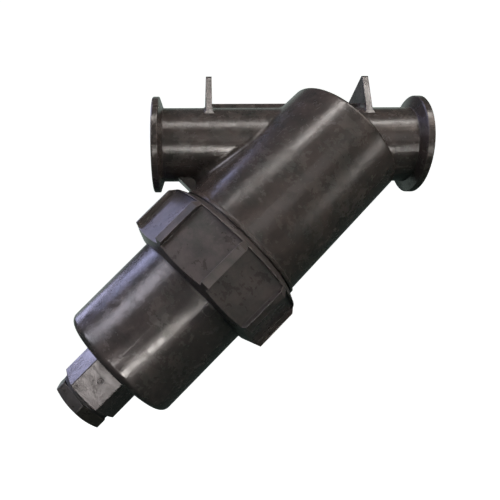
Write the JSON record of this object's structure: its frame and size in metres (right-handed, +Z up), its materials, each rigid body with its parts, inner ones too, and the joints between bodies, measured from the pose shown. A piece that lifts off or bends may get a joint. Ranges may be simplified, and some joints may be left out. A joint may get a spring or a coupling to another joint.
{
  "type": "y-strainer",
  "caption": "Y-pattern line strainer with clamp flanges, a slanting barrel, nine-sided ring nut, bowl, screen cage and hexagonal drain plug.",
  "frame": {"origin": "centre of the inlet flange's face, on the run axis", "axes": "+X along the run axis, out of the inlet; +Z up, away from the bowl; the branch runs down towards -X at 45 degrees in the XZ plane"},
  "size_m": [0.3093, 0.1474, 0.2967],
  "materials": {
    "body_plastic": "satin black glass-filled polypropylene, faint flow streaks and handling marks",
    "nut_plastic": "satin black glass-filled polypropylene, a little duller than the body",
    "bowl_plastic": "satin black glass-filled polypropylene, faint flow streaks",
    "plug_plastic": "plain black polypropylene, darker than the bowl",
    "slip_plastic": "natural acetal, smooth",
    "cage_plastic": "black polypropylene moulding",
    "seal_rubber": "black nitrile rubber",
    "mesh_steel": "woven stainless wire cloth"
  },
  "bodies": {
    "body": {"strainer_body": "body_plastic"},
    "bowl": {"strainer_bowl": "bowl_plastic", "bowl_seal": "seal_rubber"},
    "nut_carrier": {"slip_ring": "slip_plastic"},
    "nut": {"ring_nut": "nut_plastic"},
    "screen": {"screen_collar": "cage_plastic", "screen_cage": "cage_plastic", "screen_foot": "cage_plastic", "screen_mesh": "mesh_steel", "screen_seal": "seal_rubber"},
    "plug_carrier": {"plug_seal": "seal_rubber"},
    "plug": {"drain_plug": "plug_plastic"}
  },
  "joints": [
    {"name": "bowl_pull", "type": "slide", "parent": "body", "child": "bowl", "axis": [-0.7071, 0, -0.7071], "range_m": [0, 0.32]},
    {"name": "screen_pull", "type": "slide", "parent": "body", "child": "screen", "axis": [-0.7071, 0, -0.7071], "range_m": [0, 0.16]},
    {"name": "nut_travel", "type": "slide", "parent": "bowl", "child": "nut_carrier", "axis": [-0.7071, 0, -0.7071], "range_m": [0, 0.0321]},
    {"name": "nut_turn", "type": "hinge", "parent": "nut_carrier", "child": "nut", "pos_m": [-0.069, 0, 0], "axis": [-0.7071, 0, -0.7071], "range_deg": [0, 1815]},
    {"name": "plug_travel", "type": "slide", "parent": "bowl", "child": "plug_carrier", "axis": [-0.7071, 0, -0.7071], "range_m": [0, 0.0221]},
    {"name": "plug_turn", "type": "hinge", "parent": "plug_carrier", "child": "plug", "pos_m": [-0.069, 0, 0], "axis": [-0.7071, 0, -0.7071], "range_deg": [0, 3430]}
  ],
  "couplings": [
    {"joint": "screen_pull", "follows": "bowl_pull", "ratio": 0.5},
    {"joint": "nut_travel", "follows": "nut_turn", "m_per_rad": 0.0010106},
    {"joint": "plug_travel", "follows": "plug_turn", "m_per_rad": 0.00036749}
  ]
}
